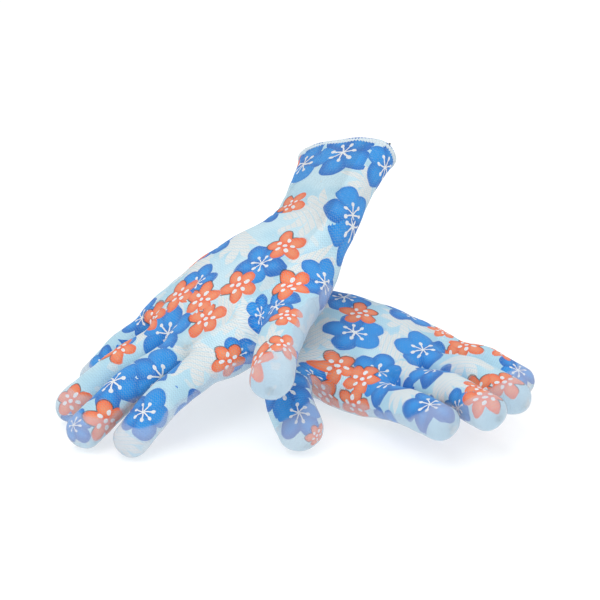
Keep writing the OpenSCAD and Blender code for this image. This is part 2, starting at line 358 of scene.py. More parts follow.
def bentGlove(p, side):
    # each point is the mean of where its bones carry it, and the nearest bone counts most
    p = drawnCuff(p, side)
    sections = evenRows(gloveLay[side]["fullness"])
    fingers = ("Index", "Middle", "Ring", "Pinky")
    reach = np.stack([digitField(p, name) for name in fingers])
    hand = handField(p, sections)
    thumbDistance = digitField(p, "Thumb")
    body = np.minimum(np.where(p[:, 1] < bendShare["handEnd"], hand, bendShare["beyond"]), reach.min(0))
    thumbShare = 1 / (1 + np.exp(np.clip((thumbDistance - body) / bendShare["thumb"], -40, 40)))
    share = np.exp(-np.clip((reach - reach.min(0)) / bendShare["finger"], 0, 40))
    share /= share.sum(0)
    bent = p.copy()
    for k, name in enumerate(fingers):
        along, across, up = straightPlace(p, name)
        carried = alongLine(fingerLine(side, name), along, across, up)
        bent += ((1 - thumbShare) * share[k])[:, None] * (carried - p)
    along, across, up = straightPlace(p, "Thumb")
    bent += thumbShare[:, None] * (alongLine(thumbLine(side), along, across, up) - p)
    bent += (1 - thumbShare)[:, None] * (alongLine(cuffLine(side), -p[:, 1], -p[:, 0], p[:, 2]) - p) \
        * (p[:, 1] < 30)[:, None]
    return bent


def laidOut(p, side):
    lay = gloveLay[side]
    turn = turnZ(lay["turn"][0]) @ turnX(lay["turn"][1]) @ turnY(lay["turn"][2])
    return (p * np.array([lay["mirror"], 1, 1])) @ turn.T + np.array(lay["wrist"])


def nearestDigit(p):
    # -1 on the hand and cuff, else the digit's number, with its own along, across and up
    names = list(digitForm)
    reach = np.stack([digitField(p, name) for name in names])
    frames = np.stack([np.stack(straightPlace(p, name)) for name in names])
    best = reach.argmin(0)
    own = frames[best, :, np.arange(len(p))]
    start = np.array([digitForm[n]["cuts"][0] for n in names], float)[best]
    return np.where(own[:, 0] > start, best, -1), best, own


# Folds in the cloth: flat place x and y, side, direction in degrees, length, width and depth
foldLines = {
    "left": ((-4, 2, 1, 4, 22, 3.2, 0.9), (6, -8, 1, -6, 20, 3.0, 0.7), (-38, 40, 1, 60, 16, 3.5, 0.8),
             (-30, 72, 1, -35, 14, 3.0, 0.8), (-21, 88, 1, 80, 12, 2.6, 0.9), (0, 92, 1, 88, 12, 2.6, 0.9),
             (21, 86, 1, 100, 12, 2.6, 0.9), (-36, 62, -1, 75, 22, 4.0, 1.4), (30, 50, 1, 80, 20, 4.0, 0.6)),
    "right": ((-8, 4, 1, 20, 24, 3.4, 1.0), (4, -6, 1, 12, 20, 3.0, 0.8), (-36, 36, 1, 55, 18, 3.5, 0.8),
              (-28, 66, 1, -40, 14, 3.0, 0.7), (-21, 88, 1, 80, 12, 2.6, 0.8), (0, 92, 1, 88, 12, 2.6, 0.8),
              (21, 86, 1, 100, 12, 2.6, 0.8), (-30, 40, -1, 40, 26, 4.0, 1.3), (10, 60, 1, 60, 30, 4.5, 0.5)),
}


def clothFolds(flat, flatNormals, side):
    # each fold is a groove, -depth exp(-(across/width)^2) exp(-(along/length)^2), with a soft ridge
    # beside it, on top of a slow lumpiness from crossed sine waves
    x, y, z = flat.T
    lift = 0.35 * np.sin(x * 0.13 + 1.1) * np.sin(y * 0.11 + 0.4)
    lift += 0.22 * np.sin(x * 0.31 + y * 0.17 + z * 0.2)
    lift += 0.10 * np.sin(x * 0.05 - y * 0.52 + 2.0) * np.sin(x * 0.36 + 0.7)
    for fx, fy, face, heading, length, width, depth in foldLines[side]:
        c, s = math.cos(math.radians(heading)), math.sin(math.radians(heading))
        along = (x - fx) * c + (y - fy) * s
        across = -(x - fx) * s + (y - fy) * c
        near = np.exp(-(along / length) ** 2) * smoothRise(flatNormals[:, 2] * face * 2)
        lift += depth * near * (0.6 * np.exp(-((np.abs(across) - 1.9 * width) / width) ** 2)
                                - np.exp(-(across / width) ** 2))
    # the side where back and palm meet stands up as a soft pressed edge
    edge = np.exp(-(z / 2.2) ** 2) * smoothRise((y + 5) / 20) * smoothRise((92 - y) / 15)
    return lift + 0.55 * edge


def filmCover(flat, best, own):
    # 0 on bare knit to 1 under the dipped film: palm half of hand and stalls, wrapping round each fingertip
    names = list(digitForm)
    length = np.array([digitForm[n]["near"] + digitForm[n]["far"] for n in names], float)[best]
    thick = np.array([digitForm[n]["half"][1] for n in names], float)[best]
    waver = 0.10 * np.sin(flat[:, 1] * 0.21 + flat[:, 0] * 0.1) + 0.05 * np.sin(flat[:, 1] * 0.63)
    onStall = own[:, 2] / thick - (-0.02 + waver + 1.9 * smoothRise((own[:, 0] - length + 26) / 26))
    onHand = (flat[:, 2] + 1.5) / 12 - waver * 0.8 + smoothRise((18 - flat[:, 1]) / 14) * 2.5
    blend = smoothRise((own[:, 0] + 6) / 12)
    blend = np.where(best == 4, smoothRise((own[:, 0] - 16) / 20), blend)
    edge = onHand * (1 - blend) + onStall * blend
    return 1 - smoothRise((edge + 0.14) / 0.28)


knitCount = {"hand": 132, "stall": 44, "course": 1.25}     # stitches round, and the length of one stitch


def knitCoordinates(flat, faceLabel):
    # wales round the glove and courses along it. Round the hand, the place is pushed out to a box round the
    # section and measured along it: x over the back, then down the side, then back under the palm. Round a
    # stall it is the angle. Both are unwrapped in the column of faces where the count starts again.
    x, y, z = flat[..., 0], flat[..., 1], flat[..., 2]
    wide = np.interp(y, (-62, -38, 0, 30, 60, 95), (28, 24, 25, 35, 42, 40))
    high = 17.0
    side = 0.6 * high
    across, up = x / wide, z / high
    reach = np.maximum(np.maximum(np.abs(across), np.abs(up)), 1e-6)
    across, up = across / reach, up / reach
    run = np.where(up > 0.9999, np.abs(across) * wide, wide + (1 - up) * side + (1 - np.abs(across)) * wide)
    wale = np.sign(x) * run / (4 * (wide + side)) * knitCount["hand"]
    course = y / knitCount["course"]
    for number, name in enumerate(digitForm):
        take = faceLabel == number
        along, over, above = straightPlace(flat[take].reshape(-1, 3), name)
        wale[take] = (np.arctan2(over, above) / (2 * math.pi) * knitCount["stall"]).reshape(-1, flat.shape[1])
        course[take] = (along / knitCount["course"]).reshape(-1, flat.shape[1])
    count = np.where(faceLabel >= 0, knitCount["stall"], knitCount["hand"])[:, None]
    spread = wale.max(1) - wale.min(1) > 15
    wale = np.where(spread[:, None] & (wale < 0), wale + count, wale)
    return np.stack([wale, course], -1)


# The print: flat place x and y, side, radius in millimetres, turn in degrees
printPlan = {
    "left": {
        "blue": ((14, 28, 1, 14, 10), (-10, 57, 1, 15, 25), (8, 90, 1, 15, 20), (-24, 86, 1, 13, 50),
                 (-32, 102, 1, 14, 35), (-9, 115, 1, 13, 0), (-46, 138, 1, 13, 30), (-48, 66, 1, 8, 10),
                 (42, 127, 1, 10, 50), (-26, 146, 1, 9, 30), (-66, 68, 1, 14, 20), (-76, 81, 1, 12, 50),
                 (34, 60, 1, 14, 40), (-28, 12, 1, 14, 60), (0, -30, 1, 16, 30), (22, -45, 1, 14, 15),
                 (-20, 40, -1, 16, 0), (20, 60, -1, 15, 40), (0, 10, -1, 15, 70), (-20, -40, -1, 15, 20),
                 (-40, 110, -1, 12, 20), (-12, 128, -1, 13, 60), (16, 115, -1, 12, 0), (44, 108, -1, 11, 30),
                 (-70, 70, -1, 12, 50), (22, -25, -1, 14, 10)),
        "orange": ((6, 47, 1, 10, 30), (-35, 68, 1, 10, 10), (-34, 84, 1, 10, 0),
                   (35, 100, 1, 9, 20), (26, 97, 1, 8, 60), (34, 82, 1, 8, 15), (45, 113, 1, 6, 40),
                   (3, 140, 1, 9, 0), (14, 148, 1, 9, 30), (-18, 158, 1, 10, 20), (-12, 149, 1, 8, 45),
                   (-85, 90, 1, 6, 10), (10, 5, 1, 10, 0), (-20, -20, 1, 9, 30), (-44, 68, -1, 9, 35),
                   (-46, 86, -1, 9, 10), (0, 80, -1, 10, 10), (30, 30, -1, 10, 60), (0, -20, -1, 10, 20),
                   (-30, 140, -1, 9, 0), (12, 140, -1, 9, 30)),
        "leaf": ((-6, 100, 1, 13, 200), (-4, 75, 1, 14, 30), (14, 120, 1, 14, 120), (-18, 131, 1, 12, 80),
                 (-45, 58, 1, 13, 60), (22, 66, 1, 15, 150), (-26, 44, 1, 14, 60), (-10, 20, 1, 15, 10),
                 (-40, 118, 1, 12, 100), (30, 136, 1, 10, 40), (0, -50, 1, 14, 60), (20, -10, 1, 14, 10),
                 (-40, 62, -1, 14, 0), (0, 50, -1, 16, 0), (-20, 80, -1, 14, 90), (30, 84, -1, 14, 200),
                 (20, 10, -1, 15, 20), (-20, 0, -1, 14, 60), (0, -42, -1, 14, 150), (-36, 122, -1, 12, 90),
                 (34, 136, -1, 11, 20)),
    },
    "right": {
        "blue": ((-7, -50, 1, 16, 10), (16, -46, 1, 15, 40), (-25, -13, 1, 14, 25), (22, 3, 1, 14, 20),
                 (-45, 13, 1, 14, 60), (-17, 35, 1, 13, 50), (9, 62, 1, 11, 0), (30, 36, 1, 13, 30),
                 (32, 92, 1, 11, 60), (0, 93, 1, 15, 10), (-51, 44, 1, 11, 40), (-41, 54, 1, 9, 20),
                 (-44, 78, 1, 9, 70), (-23, 113, 1, 15, 30), (-47, 130, 1, 12, 0), (-14, 134, 1, 14, 60),
                 (-18, 161, 1, 9, 20), (22, 110, 1, 11, 45), (36, 122, 1, 9, 10), (5, 158, 1, 9, 30),
                 (-31, -50, -1, 14, 0), (-28, -10, -1, 14, 40), (-20, 50, -1, 16, 20), (20, 66, -1, 15, 60),
                 (8, 20, -1, 15, 10), (0, -32, -1, 16, 40), (24, -44, -1, 15, 0), (-38, 112, -1, 12, 30),
                 (-8, 130, -1, 13, 60), (18, 112, -1, 12, 10), (44, 104, -1, 11, 40), (-74, 74, -1, 12, 20)),
        "orange": ((8, -11, 1, 9, 20), (30, -5, 1, 9, 60), (30, -54, 1, 9, 0), (-17, 19, 1, 10, 30),
                   (-19, 52, 1, 10, 50), (-4, 68, 1, 10, 10), (13, 72, 1, 10, 40), (20, 90, 1, 10, 0),
                   (-18, 76, 1, 10, 20), (-42, 33, 1, 10, 60), (-64, 47, 1, 8, 30), (-80, 75, 1, 11, 0),
                   (-86, 58, 1, 8, 40), (-45, 83, 1, 8, 10), (-25, 149, 1, 10, 35), (15, 117, 1, 9, 70),
                   (11, 152, 1, 9, 15), (34, 48, 1, 9, 50), (0, 46, -1, 10, 20), (-30, 74, -1, 9, 60),
                   (28, 30, -1, 10, 10), (0, -8, -1, 10, 30), (-30, 138, -1, 9, 50), (14, 136, -1, 9, 0)),
        "leaf": ((-11, -6, 1, 15, 30), (11, 29, 1, 15, 80), (-32, 15, 1, 14, 160), (-24, 66, 1, 11, 20),
                 (-34, 92, 1, 15, 100), (24, 50, 1, 14, 60), (-36, 62, 1, 13, 80), (-78, 64, 1, 12, 30),
                 (-50, 147, 1, 11, 100), (14, 100, 1, 11, 0), (-26, -34, 1, 11, 40), (4, 80, 1, 10, 60),
                 (0, 74, -1, 15, 60), (-22, 20, -1, 16, 10), (28, 90, -1, 14, 120), (0, 100, -1, 13, 80),
                 (-20, -50, -1, 14, 0), (14, -20, -1, 15, 60), (-36, 126, -1, 12, 30)),
    },
}


# how far the ink spreads past a motif's radius, how many radii a motif's coordinates reach, the coordinate
# that lies outside every motif, and the distance squared that keeps a motif on its own side of the glove
motifForm = {"spread": 1.13, "reach": 1.7, "outside": 9.0, "otherSide": 4000}


def motifCoordinates(motifs, flat, normals, faces):
    # for each face the nearest motif of one kind, and at its corners the place in that motif's own plane,
    # stretched so that its length is the straight distance; the third number tells one motif from another
    centres = flat[faces].mean(1)
    faceNormals = normals[faces].mean(1)
    best = np.full(len(faces), motifForm["reach"])
    chosen = np.full(faces.shape + (3,), motifForm["outside"])
    for number, (x, y, side, radius, turn) in enumerate(motifs):
        radius *= motifForm["spread"]
        away = (flat[:, 0] - x) ** 2 + (flat[:, 1] - y) ** 2
        away += motifForm["otherSide"] * (normals[:, 2] * side < 0.05)
        at = away.argmin()
        up = normals[at]
        right = np.cross([0, 1.0, 0], up)
        right /= np.linalg.norm(right)
        ahead = np.cross(up, right)
        c, s = math.cos(math.radians(turn)), math.sin(math.radians(turn))
        right, ahead = right * c + ahead * s, ahead * c - right * s
        reach = np.linalg.norm(centres - flat[at], axis=1) / radius
        take = (reach < best) & (faceNormals @ up > -0.35)
        best[take] = reach[take]
        d = flat[faces[take]] - flat[at]
        u, v = d @ right, d @ ahead
        scale = np.linalg.norm(d, axis=-1) / np.maximum(np.hypot(u, v), 1e-6) / radius
        seed = np.full(u.shape, (number * 0.37) % 1.0 + number)
        chosen[take] = np.stack([u * scale, v * scale, seed], -1)
    return chosen


def newMesh(name, points, faces, material, normals=None):
    mesh = bpy.data.meshes.new(name)
    mesh.vertices.add(len(points))
    mesh.vertices.foreach_set("co", np.asarray(points, np.float32).ravel())
    mesh.loops.add(faces.size)
    mesh.loops.foreach_set("vertex_index", faces.astype(np.int32).ravel())
    mesh.polygons.add(len(faces))
    mesh.polygons.foreach_set("loop_start", np.arange(0, faces.size, faces.shape[1], dtype=np.int32))
    mesh.update(calc_edges=True)
    mesh.polygons.foreach_set("use_smooth", np.ones(len(faces), bool))
    if normals is not None:
        mesh.normals_split_custom_set_from_vertices(normals.astype(np.float32))
    mesh.materials.append(material)
    piece = bpy.data.objects.new(name, mesh)
    bpy.context.scene.collection.objects.link(piece)
    return piece


def putAttribute(piece, name, kind, domain, values):
    field = {"FLOAT": "value", "FLOAT_VECTOR": "vector"}[kind]
    layer = piece.data.attributes.new(name, kind, domain)
    layer.data.foreach_set(field, np.asarray(values, np.float32).ravel())


def thickCloth(name, skin, chosen, material, lift, thickness):
    # the chosen faces at lift above the skin, a copy of them thickness below, and a strip along every
    # open side
    faces = skin["faces"][chosen]
    _, small, used = usedOnly(skin["points"], faces)
    normals = skin["normals"][used]
    outer = skin["points"][used] + normals * lift
    thick = thickness if np.isscalar(thickness) else thickness[used][:, None]
    inner = outer - normals * thick
    sides = openSides(small)
    n = len(used)
    strip = np.stack([sides[:, 1], sides[:, 0], sides[:, 0] + n, sides[:, 1] + n], 1)
    allFaces = np.concatenate([small, small[:, ::-1] + n, strip])
    piece = newMesh(name, np.vstack([outer, inner]) / 1000, allFaces, material,
                    np.vstack([normals, -normals]))
    flatOf = np.concatenate([used, used])
    corner = flatOf[allFaces]
    # strips take their print from the skin point they stand on
    label = np.concatenate([skin["label"][chosen], skin["label"][chosen], np.full(len(strip), -1)])
    knit = knitCoordinates(skin["flat"][corner], label)
    uv = piece.data.uv_layers.new(name="knit")
    uv.data.foreach_set("uv", knit.astype(np.float32).ravel())
    for kind in ("blue", "orange", "leaf"):
        onFaces = skin[kind][chosen]
        onStrip = np.full((len(strip), 4, 3), motifForm["outside"])
        both = np.concatenate([onFaces, onFaces[:, ::-1], onStrip])
        putAttribute(piece, kind + "Motif", "FLOAT_VECTOR", "CORNER", both)
    putAttribute(piece, "film", "FLOAT", "POINT", skin["film"][flatOf])
    putAttribute(piece, "inside", "FLOAT", "POINT", np.repeat([0.0, 1.0], n))
    putAttribute(piece, "rib", "FLOAT", "POINT", smoothRise((4 - skin["flat"][flatOf, 1]) / 8))
    return piece


def gloveSkin(side):
    lay = gloveLay[side]
    flat, faces = flatGlove(lay["fullness"])
    flatNormals = pointNormals(flat, faces)
    posed = laidOut(bentGlove(flat, side), side)
    outFaces = faces if lay["mirror"] > 0 else faces[:, ::-1]
    normals = pointNormals(posed, outFaces)
    posed = posed + normals * clothFolds(flat, flatNormals, side)[:, None]
    posed[:, 2] = np.maximum(posed[:, 2], 0.45)   # leaves room for the film under it
    normals = pointNormals(posed, outFaces)
    _, best, own = nearestDigit(flat)
    skin = dict(points=posed, faces=outFaces, normals=normals, flat=flat,
                film=filmCover(flat, best, own))
    faceFlat = flat[faces].mean(1)
    skin["label"], _, skin["faceOwn"] = nearestDigit(faceFlat)
    skin["faceFlat"] = faceFlat
    for kind, motifs in printPlan[side].items():
        found = motifCoordinates(motifs, flat, flatNormals, faces)
        skin[kind] = found if lay["mirror"] > 0 else found[:, ::-1]
    return skin


def newTree(name, sockets):
    # a node group with its named inputs and outputs
    tree = bpy.data.node_groups.new(name, "ShaderNodeTree")
    for label, way, kind, value in sockets:
        socket = tree.interface.new_socket(name=label, in_out=way, socket_type="NodeSocket" + kind)
        if value is not None:
            socket.default_value = value
    return tree, tree.nodes.new("NodeGroupInput"), tree.nodes.new("NodeGroupOutput")


def feed(tree, node, values):
    for slot, value in values.items():
        if isinstance(value, bpy.types.NodeSocket):
            tree.links.new(value, node.inputs[slot])
        elif value is not None:
            node.inputs[slot].default_value = value
    return node


def calc(tree, operation, a, b=None, c=None, clamp=False):
    node = tree.nodes.new("ShaderNodeMath")
    node.operation, node.use_clamp = operation, clamp
    return feed(tree, node, {0: a, 1: b, 2: c}).outputs[0]


def rise(tree, value, low, high):
    # 0 below low, 1 above high, eased in between
    node = tree.nodes.new("ShaderNodeMapRange")
    node.interpolation_type = "SMOOTHSTEP"
    return feed(tree, node, {"Value": value, "From Min": low, "From Max": high}).outputs["Result"]


def tint(tree, share, a, b, mode="MIX"):
    node = tree.nodes.new("ShaderNodeMix")
    node.data_type, node.blend_type = "RGBA", mode
    return feed(tree, node, {0: share, 6: a, 7: b}).outputs[2]


def grain(tree, vector, scale, detail=2.0, rough=0.5):
    node = tree.nodes.new("ShaderNodeTexNoise")
    feed(tree, node, {"Vector": vector, "Scale": scale, "Detail": detail, "Roughness": rough})
    return node.outputs["Fac"]


def splitVector(tree, vector):
    return feed(tree, tree.nodes.new("ShaderNodeSeparateXYZ"), {0: vector}).outputs


def joinVector(tree, x, y, z=0.0):
    return feed(tree, tree.nodes.new("ShaderNodeCombineXYZ"), {0: x, 1: y, 2: z}).outputs[0]


def wedgePlace(tree, x, y, count, start=0.0):
    # folds the plane into count equal wedges: distance along and across the middle of the wedge, its
    # number, and the distance from the centre
    wedge = calc(tree, "DIVIDE", math.tau, count)
    angle = calc(tree, "ADD", calc(tree, "ARCTAN2", y, x), math.pi + start)
    number = calc(tree, "FLOOR", calc(tree, "DIVIDE", angle, wedge))
    local = calc(tree, "SUBTRACT", angle, calc(tree, "MULTIPLY", calc(tree, "ADD", number, 0.5), wedge))
    reach = calc(tree, "SQRT", calc(tree, "ADD", calc(tree, "MULTIPLY", x, x), calc(tree, "MULTIPLY", y, y)))
    return (calc(tree, "MULTIPLY", reach, calc(tree, "COSINE", local)),
            calc(tree, "MULTIPLY", reach, calc(tree, "SINE", local)), number, reach)


def ellipseValue(tree, along, across, middle, long, wide):
    a = calc(tree, "DIVIDE", calc(tree, "SUBTRACT", along, middle), long)
    b = calc(tree, "DIVIDE", across, wide)
    return calc(tree, "SQRT", calc(tree, "ADD", calc(tree, "MULTIPLY", a, a), calc(tree, "MULTIPLY", b, b)))


def petalGroup():
    # a ring of rounded petals round a centre, each a little longer or shorter than the next,
    # with fine filaments that end in dots
    tree, given, out = newTree("petalPrint", (
        ("Place", "INPUT", "Vector", None), ("Petals", "INPUT", "Float", 5.0),
        ("Middle", "INPUT", "Float", 0.54), ("Long", "INPUT", "Float", 0.47),
        ("Wide", "INPUT", "Float", 0.41), ("Unevenness", "INPUT", "Float", 0.14),
        ("Filaments", "INPUT", "Float", 7.0), ("Reach", "INPUT", "Float", 0.34),
        ("Thread", "INPUT", "Float", 0.024), ("Dot", "INPUT", "Float", 0.06),
        ("Petal", "OUTPUT", "Float", None), ("Depth", "OUTPUT", "Float", None),
        ("Outline", "OUTPUT", "Float", None), ("Stamen", "OUTPUT", "Float", None),
        ("Turn", "OUTPUT", "Float", None)))
    x, y, seed = splitVector(tree, given.outputs["Place"])
    wobble = tree.nodes.new("ShaderNodeTexNoise")
    feed(tree, wobble, {"Vector": given.outputs["Place"], "Scale": 1.7, "Detail": 1.0})
    wx, wy, _ = splitVector(tree, wobble.outputs["Color"])
    x = calc(tree, "ADD", x, calc(tree, "MULTIPLY", calc(tree, "SUBTRACT", wx, 0.5), 0.22))
    y = calc(tree, "ADD", y, calc(tree, "MULTIPLY", calc(tree, "SUBTRACT", wy, 0.5), 0.22))
    along, across, number, reach = wedgePlace(tree, x, y, given.outputs["Petals"])
    chance = tree.nodes.new("ShaderNodeTexWhiteNoise")
    chance.noise_dimensions = "2D"
    feed(tree, chance, {"Vector": joinVector(tree, number, seed)})
    uneven = calc(tree, "MULTIPLY", calc(tree, "SUBTRACT", chance.outputs["Value"], 0.5),
                  given.outputs["Unevenness"])
    size = calc(tree, "ADD", 1.0, uneven)
    value = ellipseValue(tree, calc(tree, "DIVIDE", along, size), across, given.outputs["Middle"],
                         given.outputs["Long"], given.outputs["Wide"])
    centre = calc(tree, "DIVIDE", reach, 0.3)
    shape = calc(tree, "MINIMUM", value, centre)
    feed(tree, out, {"Petal": calc(tree, "SUBTRACT", 1.0, rise(tree, shape, 0.97, 1.03)), "Depth": value,
                     "Outline": calc(tree, "MULTIPLY", rise(tree, shape, 0.93, 0.97),
                                     calc(tree, "SUBTRACT", 1.0, rise(tree, shape, 1.08, 1.12))),
                     "Turn": chance.outputs["Value"]})
    fAlong, fAcross, _, fReach = wedgePlace(tree, x, y, given.outputs["Filaments"], 0.4)
    thread = calc(tree, "MULTIPLY",
                  calc(tree, "LESS_THAN", calc(tree, "ABSOLUTE", fAcross), given.outputs["Thread"]),
                  calc(tree, "LESS_THAN", fReach, given.outputs["Reach"]))
    dotAt = calc(tree, "MULTIPLY", ellipseValue(tree, fAlong, fAcross, given.outputs["Reach"], 1.3, 1.0), 1.0)
    dot = calc(tree, "LESS_THAN", dotAt, given.outputs["Dot"])
    heart = calc(tree, "LESS_THAN", fReach, calc(tree, "MULTIPLY", given.outputs["Dot"], 1.1))
    feed(tree, out, {"Stamen": calc(tree, "MAXIMUM", calc(tree, "MAXIMUM", thread, dot), heart)})
    return tree


def knitGroup():
    # rows of small V stitches: each wale is a rounded column, each course slants up to the wale's middle. Gap
    # marks the low places between the loops, which the cloth fills with painted shade
    tree, given, out = newTree("knitStitch", (
        ("Stitch", "INPUT", "Vector", None), ("Rib", "INPUT", "Float", 0.0),
        ("Height", "OUTPUT", "Float", None), ("Gap", "OUTPUT", "Float", None)))
    u, v, _ = splitVector(tree, given.outputs["Stitch"])
    across = calc(tree, "ABSOLUTE", calc(tree, "SUBTRACT", calc(tree, "FRACT", u), 0.5))
    slanted = calc(tree, "FRACT", calc(tree, "ADD", v, calc(tree, "MULTIPLY", across, 1.1)))
    course = calc(tree, "ABSOLUTE", calc(tree, "SUBTRACT", slanted, 0.5))
    wale = calc(tree, "SINE", calc(tree, "MULTIPLY", across, math.tau))
    loop = calc(tree, "SUBTRACT", 1.0, calc(tree, "MULTIPLY", rise(tree, course, 0.12, 0.5), 0.75))
    height = calc(tree, "MULTIPLY", loop, calc(tree, "ADD", calc(tree, "MULTIPLY", wale, 0.55), 0.45))
    ribs = calc(tree, "SINE", calc(tree, "MULTIPLY", u, math.pi))
    ribbed = calc(tree, "MULTIPLY", calc(tree, "MULTIPLY", ribs, given.outputs["Rib"]), 0.45)
    feed(tree, out, {"Height": calc(tree, "ADD", height, ribbed),
                     "Gap": calc(tree, "SUBTRACT", 1.0, rise(tree, height, 0.12, 0.5))})
    return tree


# colours of the cloth and its print; the dark blue-grey for the gaps between stitches is painted shade
printColours = {
    "sky": (0.47, 0.735, 0.875, 1), "skyPale": (0.60, 0.82, 0.92, 1), "blueLight": (0.018, 0.30, 0.80, 1),
    "blueDeep": (0.012, 0.155, 0.56, 1), "orange": (0.90, 0.135, 0.035, 1),
    "orangeLight": (0.93, 0.28, 0.12, 1), "stitchGapShade": (0.30, 0.42, 0.52, 1), "inside": (0.62, 0.76, 0.84, 1),
    "leaf": (0.78, 0.82, 0.82, 1), "leafVein": (0.52, 0.76, 0.88, 1), "outline": (0.035, 0.05, 0.04, 1),
    "white": (0.86, 0.88, 0.90, 1),
}


def attributeSocket(tree, name, output="Vector"):
    node = tree.nodes.new("ShaderNodeAttribute")
    node.attribute_name = name
    return node.outputs[output]


def groupNode(tree, group, values):
    node = tree.nodes.new("ShaderNodeGroup")
    node.node_tree = group
    return feed(tree, node, values)


def printedGroup(petals):
    # the whole flower print from the three motif places: leaves lie lowest, then blue, then orange
    tree, given, out = newTree("flowerPrint", (
        ("Blue Place", "INPUT", "Vector", None), ("Orange Place", "INPUT", "Vector", None),
        ("Leaf Place", "INPUT", "Vector", None), ("Cloth Place", "INPUT", "Vector", None),
        ("Color", "OUTPUT", "Color", None)))
    c = printColours
    cloth = given.outputs["Cloth Place"]
    ground = tint(tree, rise(tree, grain(tree, cloth, 38.0, 1.0), 0.42, 0.62), c["sky"], c["skyPale"])
    moved = feed(tree, tree.nodes.new("ShaderNodeVectorMath"), {0: cloth, 1: (1.0, 0.45, 1.0)})
    brush = grain(tree, moved.outputs[0], 90.0, 2.0, 0.6)
    ground = tint(tree, calc(tree, "MULTIPLY", rise(tree, brush, 0.58, 0.62), 0.55), ground, c["leaf"])
    leaf = groupNode(tree, petals, {"Place": given.outputs["Leaf Place"], "Petals": 9.0, "Middle": 0.62,
                                    "Long": 0.44, "Wide": 0.17, "Unevenness": 0.5, "Filaments": 3.0,
                                    "Reach": 0.0, "Thread": 0.0, "Dot": 0.0})
    lx, ly, _ = splitVector(tree, given.outputs["Leaf Place"])
    fan = calc(tree, "GREATER_THAN", calc(tree, "ADD", lx, 0.35), 0.0)
    slant = calc(tree, "ADD", calc(tree, "MULTIPLY", lx, 34.0), calc(tree, "MULTIPLY", ly, 21.0))
    veins = calc(tree, "SINE", slant)
    vein = calc(tree, "MULTIPLY", calc(tree, "GREATER_THAN", veins, 0.86), 0.7)
    leafColour = tint(tree, vein, c["leaf"], c["leafVein"])
    colour = tint(tree, calc(tree, "MULTIPLY", leaf.outputs["Petal"], fan), ground, leafColour)
    blue = groupNode(tree, petals, {"Place": given.outputs["Blue Place"]})
    uneven = calc(tree, "MULTIPLY", calc(tree, "SUBTRACT", blue.outputs["Turn"], 0.5), 0.7)
    depth = rise(tree, calc(tree, "ADD", blue.outputs["Depth"], uneven), 0.25, 1.15)
    blueColour = tint(tree, depth, c["blueLight"], c["blueDeep"])
    blueColour = tint(tree, blue.outputs["Stamen"], blueColour, c["white"])
    colour = tint(tree, blue.outputs["Petal"], colour, blueColour)
    orange = groupNode(tree, petals, {"Place": given.outputs["Orange Place"], "Middle": 0.55,
                                      "Long": 0.44, "Wide": 0.33, "Unevenness": 0.2, "Filaments": 5.0,
                                      "Reach": 0.36, "Thread": 0.0, "Dot": 0.1})
    orangeColour = tint(tree, rise(tree, orange.outputs["Depth"], 0.2, 1.1), c["orangeLight"], c["orange"])
    orangeColour = tint(tree, orange.outputs["Stamen"], orangeColour, c["white"])
    ox, oy, _ = splitVector(tree, given.outputs["Orange Place"])
    shaded = calc(tree, "MULTIPLY", orange.outputs["Outline"],
                  rise(tree, calc(tree, "SUBTRACT", ox, calc(tree, "MULTIPLY", oy, 0.6)), -0.1, 0.25))
    colour = tint(tree, orange.outputs["Petal"], colour, orangeColour)
    colour = tint(tree, calc(tree, "MULTIPLY", shaded, 0.85), colour, c["outline"])
    feed(tree, out, {"Color": colour})
    return tree


def newMaterial(name, roughness, sheen=0.0):
    material = bpy.data.materials.new(name)
    material.use_nodes = True
    shader = material.node_tree.nodes["Principled BSDF"]
    shader.inputs["Roughness"].default_value = roughness
    shader.inputs["Sheen Weight"].default_value = sheen
    shader.inputs["Sheen Roughness"].default_value = 0.45
    shader.inputs["Specular IOR Level"].default_value = 0.35
    return material, material.node_tree, shader


# the strength of the painted shade between the stitches is one of these
clothFinish = {"bump": 0.75, "stitchDepth": 0.00030, "roughness": 0.82, "gapShadeStrength": 0.42, "insidePale": 0.55,
               "filmPale": 0.16}


